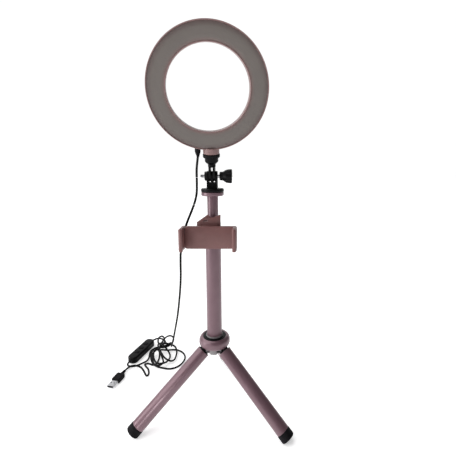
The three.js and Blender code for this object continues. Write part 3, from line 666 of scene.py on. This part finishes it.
# ---------------------------------------------------------------- tripod
def make_leg(number):
    place = leg_place(number)
    body = f"leg_{number}"
    barrel = turned(f"leg_{number}_drawn", hollow(LEG["r"], LEG["bore"], LEG["start"], LEG["end"], 0.4), place)
    put(barrel, "rose_enamel", body, f"leg_tube_{number}")
    put(dressed(f"leg_knuckle_{number}", 0.5), "black_plastic", body)
    put(dressed(f"leg_pin_{number}", 0.3), "steel", "base")

    cap = softened([
        (0, 131), (8.6, 131), (8.6, 141), (10.3, 141), (10.3, 145), (10.15, 145.3), (10.15, 145.7), (10.3, 146),
        (10.3, 150.7), (9.7, 151.9), (8.5, 152.5), (0, 152.5),
    ], [0, 0.3, 0.1, 0.6, 0.1, 0.1, 0.1, 0.1, 0.8, 0.8, 0.8, 0], closed=False)
    foot = turned(f"leg_{number}_cap", cap, place, 72, closed=False)
    trimmed(foot.data)
    put(foot, "soft_rubber", body, f"leg_foot_{number}")


def trimmed(mesh, height=1e-6, above=True):
    """Keeps what is above a height, or what is below it, and closes the cut."""
    work = bmesh.new()
    work.from_mesh(mesh)
    everything = [*work.verts, *work.edges, *work.faces]
    cut = bmesh.ops.bisect_plane(
        work, geom=everything, plane_co=(0, 0, height), plane_no=(0, 0, 1),
        clear_inner=above, clear_outer=not above,
    )
    rim = [part for part in cut["geom_cut"] if isinstance(part, bmesh.types.BMEdge)]
    bmesh.ops.holes_fill(work, edges=rim)
    bmesh.ops.recalc_face_normals(work, faces=work.faces)
    work.to_mesh(mesh)
    work.free()
    mesh.set_sharp_from_angle(angle=math.radians(32))


UNDERSIDE = 114  # the hub is grey below this height and black above it


def make_tripod():
    for number in (1, 2, 3):
        make_leg(number)
    core = dressed("hub_core", 0.5)
    lower = finished("hub_underside", core.data.copy())
    trimmed(core.data, UNDERSIDE * MM)
    trimmed(lower.data, UNDERSIDE * MM, above=False)
    put(core, "black_plastic", "base")
    put(lower, "grey_plastic", "base", "hub_core")
    put(dressed("hub_collar", 0.7, segments=3), "rose_enamel", "base")
    low, high = (corner.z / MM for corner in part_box("column_sleeve"))
    sleeve = turned("foot_sleeve", hollow(13, 11.72, low, high, 0.5), UPRIGHT)
    put(sleeve, "grey_plastic", "base", "column_sleeve")


# ---------------------------------------------------------------- phone holder
def coil(name, radius, wire, low, high, turns, place):
    """A coil spring of round wire about local Z."""
    steps = turns * 24
    path = []
    for k in range(steps + 1):
        angle = 2 * math.pi * turns * k / steps
        z = low + wire + (high - low - 2 * wire) * k / steps
        path.append(place @ Vector((radius * math.cos(angle), radius * math.sin(angle), z)))
    return tube(name, path, wire * MM, 8)


# The CAD's lever is about 3 mm taller: cut here, so that it doesn't show above the plate.
LEVER_TOP = 293.5


def make_holder():
    put(dressed("clip_body", 0.7), "salmon_plastic", "clip")
    lever = dressed("clip_lever", 0.6)
    trimmed(lever.data, LEVER_TOP * MM, above=False)
    put(lever, "salmon_plastic", "lever")
    put(dressed("clip_pin", 0.3), "steel", "clip")
    put(dressed("swivel_stud", 0.3), "steel", "clip")
    put(dressed("phone_plate", 0.8, segments=3), "salmon_plastic", "plate")
    put(dressed("back_cover", 0.7), "salmon_plastic", "plate")
    put(dressed("sliding_jaw", 0.8, segments=3), "salmon_plastic", "jaw")

    low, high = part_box("clip_spring")
    pin = axes(((low.x + high.x) / 2, (low.y + high.y) / 2, 0), (0, 0, 1), (1, 0, 0))
    spring = coil("torsion_spring", 2.9, 0.55, low.z / MM, high.z / MM, 5, pin)
    put(spring, "steel", "clip", "clip_spring")

    low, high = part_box("jaw_spring")
    centre = (low + high) / 2
    line = axes((low.x, centre.y, centre.z), (1, 0, 0), (0, 0, 1))
    spring = coil("return_spring", 1.6, 0.35, 0, (high.x - low.x) / MM, 22, line)
    put(spring, "steel", None, "jaw_spring")
    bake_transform(spring)


# ---------------------------------------------------------------- lead
# The lead's route, one stretch past each joint, then over the table. Most points of lead_bundle and some of
# lead_turn came out of another program, so these two are not lists chosen by hand, and no loop makes them.
# lead_head, lead_neck and lead_tail differ a little from the CAD's routes.
ROUTES = {
    "lead_head": [(-19.1, -10.2, 399.6), (-20.4, -8.2, 392), (-21.9, -5.6, 382), (-22.2, -4.6, 370.2)],
    "lead_neck": [(-22.2, -4.6, 369.8), (-22.2, -5, 356), (-22.9, -6, 344), (-26.3, -7.4, 331.2)],
    "lead_upper": [
        (-26.4, -7.4, 330.8), (-31, -8.4, 319), (-36.3, -9, 306.5), (-41, -9, 293), (-44.8, -8, 279),
        (-47.6, -6, 266), (-49.4, -3, 252.2),
    ],
    "lead_lower": [
        (-49.4, -3, 251.8), (-50.6, 1, 238), (-52, 7, 222), (-54.5, 15, 202), (-58.5, 26, 180), (-63.5, 39, 155),
        (-70, 55, 127), (-78, 74, 98), (-87, 96, 67.2),
    ],
    "lead_drop": [(-87.1, 96.2, 66.8), (-94, 112, 44.5), (-99, 124, 30), (-101.5, 131, 23.2)],
    "lead_bundle": [
        (-102, 133, 22.4), (-106, 147, 19), (-111, 160, 13), (-118, 155, 10), (-128, 156, 9), (-137, 163, 10),
        (-141, 174, 12), (-140, 181, 14), (-136, 184, 15), (-131, 182, 14), (-127, 174, 12), (-124, 155, 13),
        (-128, 142, 12.5), (-136, 140, 9), (-140, 128, 7.5), (-135, 111, 7), (-126, 95, 7), (-115, 92, 7.5),
        (-111, 101, 7.5), (-118, 118, 8), (-124, 129, 11), (-128, 138, 15), (-128, 158, 15.5), (-127, 172, 15),
        (-123, 182, 15), (-117, 184, 16), (-111, 181, 15.5), (-107, 174, 14), (-107, 163, 12), (-112, 157, 9),
        (-120, 155, 6), (-131, 155, 5.5), (-142, 154, 5.5), (-145, 141, 4.5), (-141, 121, 4.4), (-132, 103, 4.4),
        (-121, 93, 4.4), (-111, 93, 1.6), (-100, 90, 1.5), (-89, 92, 1.5), (-79, 101, 1.5), (-74, 115, 1.5),
        (-74, 128, 1.5), (-81, 142, 1.5), (-91, 150, 2), (-104, 151, 3), (-113, 146, 5), (-122, 141, 9),
        (-130, 136, 12), (-137, 134, 13), (-136, 123, 11), (-131, 108, 10), (-121, 95, 9.8), (-111, 95, 9.8),
        (-105, 104, 7), (-103, 120, 5), (-106, 133, 4.6), (-113, 142, 8), (-120, 143, 17), (-125, 148, 18),
        (-119, 153, 16), (-110, 158, 11), (-101, 157, 7), (-94, 143, 5), (-92, 126, 4.6), (-93, 113, 4.6),
        (-98, 109, 4.6), (-105, 109, 8), (-112, 112, 11), (-119, 120, 14.5), (-126, 130, 17), (-133, 145, 17),
        (-133, 160, 12), (-127, 171, 6), (-125.2, 175.6, 4.1),
    ],
    "lead_link_in": [
        (-125, 176, 4), (-131, 186, 4.2), (-139, 190.5, 5), (-148.2, 188, 6.2), (-155.3, 178.8, 6.5),
    ],
    "lead_link_out": [
        (-177.6, 105.8, 6.5), (-179.2, 101, 6.5), (-178.8, 95.5, 6.4), (-174.5, 91.3, 6.2), (-168, 91, 5.8),
        (-161, 94.2, 5.3), (-154, 102, 4.2), (-147.9, 110.4, 3.2),
    ],
    "lead_turn": [
        (-147.7, 110.7, 3.2), (-145.6, 118, 2.6), (-147, 129, 1.8), (-149, 140, 1.6), (-149.5, 150, 1.6),
        (-144, 158, 1.5), (-135, 153, 1.5), (-128, 137, 1.5), (-125, 119, 1.5), (-126, 105, 1.5), (-132, 101, 1.6),
        (-139, 106, 1.6), (-143.5, 107.5, 1.6), (-147.7, 104.8, 1.7),
    ],
    "lead_tail": [
        (-147.9, 104.4, 1.7), (-144.8, 97.5, 1.6), (-138.5, 92, 1.7), (-134.5, 84, 1.7), (-132, 76, 1.7),
        (-131.6, 70, 1.7), (-133.4, 68.6, 1.7), (-136.6, 72.6, 1.7), (-142, 81, 1.7), (-149, 91, 1.7),
        (-157.5, 98, 1.7), (-167, 100.6, 1.7), (-173.4, 97.8, 2), (-176.9, 89.6, 3.2), (-178.3, 81.4, 4),
    ],
}
ACROSS = {
    "lead_head": ("lamp", "adapter"),
    "lead_neck": ("adapter", "inner"),
    "lead_upper": ("inner", "mid"),
    "lead_lower": ("mid", "base"),
}


def eased(path, rounds):
    """A path with its bends opened a little and its ends kept."""
    for _ in range(rounds):
        path = [path[0], *((a + 2 * b + c) / 4 for a, b, c in zip(path, path[1:], path[2:])), path[-1]]
    return path


def make_lead():
    for name, route in ROUTES.items():
        path = eased(curve_points([at(*point) for point in route], 2 * MM), 5)
        for point in path:
            point.z = max(point.z, CORD_R * MM)
        made = tube(name + "_cord", path, CORD_R * MM)
        put(made, "lead_sheath", None, *([name] if name in frame["nodes"] else []))
        if name in ACROSS:
            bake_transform(made)
        else:
            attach(made, "base")


# ---------------------------------------------------------------- controller and plug
CASE = {"length": 72, "wide": 20, "thick": 13, "split": 6.4, "pitch": 15, "radius": 8}
CASE_HEADING = math.radians(253.2)
CASE_AT = axes(at(-166.3, 142.4, 0), (0, 0, 1), (math.cos(CASE_HEADING), math.sin(CASE_HEADING), 0))
USB = {"grip": 30, "wide": 15.6, "thick": 8, "shell": 14, "shell_w": 12, "shell_t": 4.5, "sheet": 0.4}
USB_AT = axes(at(-178.5, 80.8, 0), (0, 0, 1), (math.cos(math.radians(258)), math.sin(math.radians(258)), 0))


def make_controller():
    size = (CASE["length"], CASE["wide"])
    base = pillow("case_base", size, CASE["radius"], 0.5, 0, CASE["split"], CASE_AT, base_edge=2)
    seam, top = CASE["split"] + 0.3, CASE["thick"]
    lid = pillow("case_lid", size, CASE["radius"], 2.6, seam, top, CASE_AT, base_edge=0.5)
    windows = []
    for n, name in enumerate(("power", "colour", "dimmer")):
        place = CASE_AT @ Matrix.Translation(((n - 1) * CASE["pitch"], 0, 0))
        windows.append(pillow("window", (8.6, 10.6), 2.8, 0.1, CASE["thick"] - 3.8, CASE["thick"] + 1, place))
        cap = pillow(f"cap_{name}", (8, 10), 2.5, 0.7, CASE["thick"] - 2, CASE["thick"] + 1, place)
        put(cap, "soft_rubber", f"key_{name}", f"key_{name}")
    put(cut_with(lid, windows), "black_plastic", "base", "controller_lid")
    put(base, "black_plastic", "base", "controller_base")


def make_plug():
    """A moulded grip with a ribbed neck, and the folded metal shell with its two windows."""
    mid = USB["thick"] / 2
    body = USB_AT @ Matrix.Translation((10.2 + (USB["grip"] - 10.2) / 2, 0, 0))
    grip = pillow("plug_grip", (USB["grip"] - 10.2, USB["wide"]), 2.6, 1.6, 0, USB["thick"], body)
    neck_place = USB_AT @ Matrix.Translation((0, 0, mid)) @ Matrix.Rotation(math.pi / 2, 4, "Y")
    ribs = [(0, 0)]
    for n in range(4):
        ribs += [(2.5 + 0.2 * n, 2.5 * n), (2.6 + 0.2 * n, 2.5 * n + 1.5), (2.1 + 0.2 * n, 2.5 * n + 1.7),
                 (2.1 + 0.2 * n, 2.5 * n + 2.3)]
    ribs += [(3.4, 10), (3.6, 13), (0, 13)]
    neck = turned("plug_neck", softened(ribs, 0.25, 2, closed=False), neck_place, 36, closed=False)
    tongue = box_piece("plug_tongue", (USB["grip"] - 1, -5.2, mid + 0.1),
                       (USB["grip"] + USB["shell"] - 1.5, 5.2, mid + 1.7), USB_AT)
    for part, slot in ((grip, "soft_rubber"), (neck, "soft_rubber"), (tongue, "black_plastic")):
        put(part, slot, "base", "usb_grip")

    shell_start = Matrix.Translation((USB["grip"] + 0.3, 0, mid))
    shell_place = USB_AT @ shell_start @ Matrix.Rotation(math.pi / 2, 4, "Y")
    long = USB["shell"] - 0.3
    size, inside = (USB["shell_t"], USB["shell_w"]), (USB["shell_t"] - 0.8, USB["shell_w"] - 0.8)
    shell = pillow("plug_shell", size, 0.8, 0.12, 0, long, shell_place, 1)
    cutters = [pillow("bore", inside, 0.5, 0.01, -1, long + 1, shell_place, 1)]
    for side in (-1, 1):
        low = (-USB["shell_t"], side * 2.9 - 1.1, 5)
        high = (USB["shell_t"], side * 2.9 + 1.1, 7.4)
        cutters.append(box_piece("window", low, high, shell_place))
    put(cut_with(shell, cutters), "steel", "base", "usb_shell")
    return [grip, neck, tongue, bpy.data.objects["plug_shell"]]


# ---------------------------------------------------------------- studio
WORLD_DIM, WORLD_BRIGHT = 0.06, 1.03
EDGE_START, EDGE_END = 0.58, 0.73  # where the surround turns from dim to bright
SUN, SUN_SPREAD = 2.6, 75
SPOT = {"watts": 2.4, "cone": 28, "size": 0.07, "from": (-150, -420, 90), "to": (-88, -44, 44)}


def lamp_light(name, place, target, size, watts):
    light = bpy.data.lights.new(name, "AREA")
    light.shape = "DISK"
    light.size = size
    light.energy = watts
    made = bpy.data.objects.new(name, light)
    made.location = place
    made.rotation_mode = "QUATERNION"
    made.rotation_quaternion = (Vector(target) - Vector(place)).to_track_quat("-Z", "Y")
    bpy.context.scene.collection.objects.link(made)


def leg_light():
    """A spot on the left leg alone, from in front of it, for the bright stripe along it."""
    light = bpy.data.lights.new("leg_spot", "SPOT")
    light.energy = SPOT["watts"]
    light.spot_size = math.radians(SPOT["cone"])
    light.spot_blend = 1
    light.shadow_soft_size = SPOT["size"]
    made = bpy.data.objects.new("leg_spot", light)
    made.location = at(*SPOT["from"])
    target = at(*SPOT["to"])
    made.rotation_mode = "QUATERNION"
    made.rotation_quaternion = (target - made.location).to_track_quat("-Z", "Y")
    bpy.context.scene.collection.objects.link(made)


def make_world():
    """White behind the object and on its left, and dimmer towards the camera and the right."""
    world = bpy.data.worlds.new("studio")
    world.use_nodes = True
    nodes, links = world.node_tree.nodes, world.node_tree.links
    towards = nodes.new("ShaderNodeVectorMath")
    towards.operation = "DOT_PRODUCT"
    towards.inputs[1].default_value = Vector((-0.12, 1, 0)).normalized()
    links.new(nodes.new("ShaderNodeTexCoord").outputs["Generated"], towards.inputs[0])
    fade = nodes.new("ShaderNodeMapRange")
    fade.interpolation_type = "SMOOTHSTEP"
    limits = (EDGE_START, EDGE_END, WORLD_DIM, WORLD_BRIGHT)
    for socket, number in zip(("From Min", "From Max", "To Min", "To Max"), limits):
        fade.inputs[socket].default_value = number
    links.new(towards.outputs["Value"], fade.inputs["Value"])
    links.new(fade.outputs["Result"], nodes["Background"].inputs["Strength"])
    nodes["Background"].inputs["Color"].default_value = (1, 1, 1, 1)
    bpy.context.scene.world = world


def make_studio():
    """A pale floor, a surround that is bright behind the object only, a soft overhead light from the left,
    a weak one in front and one at the left side, and the spot on the left leg."""
    floor = turned("floor", [(0, 0), (2, 0), (8, 0)], Matrix.Identity(4), 72, closed=False)
    surface = Surface("floor", (0.86, 0.86, 0.87), 0.8, Emission_Color=(1, 1, 1, 1), Emission_Strength=0.52)
    surface.colors(surface.noise(3, 3), (0.85, 0.85, 0.855), (0.88, 0.88, 0.885))
    floor.data.materials.append(surface.material)
    make_world()
    sun = bpy.data.lights.new("overhead", "SUN")
    sun.energy = SUN
    sun.angle = math.radians(SUN_SPREAD)
    made = bpy.data.objects.new("overhead", sun)
    made.rotation_mode = "QUATERNION"
    made.rotation_quaternion = Vector((0.55, -0.02, -0.83)).to_track_quat("-Z", "Y")
    bpy.context.scene.collection.objects.link(made)
    lamp_light("front_left", (-0.9, -1.0, 0.9), (0, 0, 0.3), 0.5, 2.5)
    lamp_light("side", (-1.3, -0.45, 0.35), (0, 0, 0.25), 0.7, 6)
    leg_light()
    bpy.context.scene.view_settings.view_transform = "Standard"


# ---------------------------------------------------------------- the scene
set_camera()
dress_frame()
PLUG = make_plug()
make_lead()
make_lamp()
make_hinge()
make_column()
make_tripod()
make_holder()
make_controller()
make_studio()
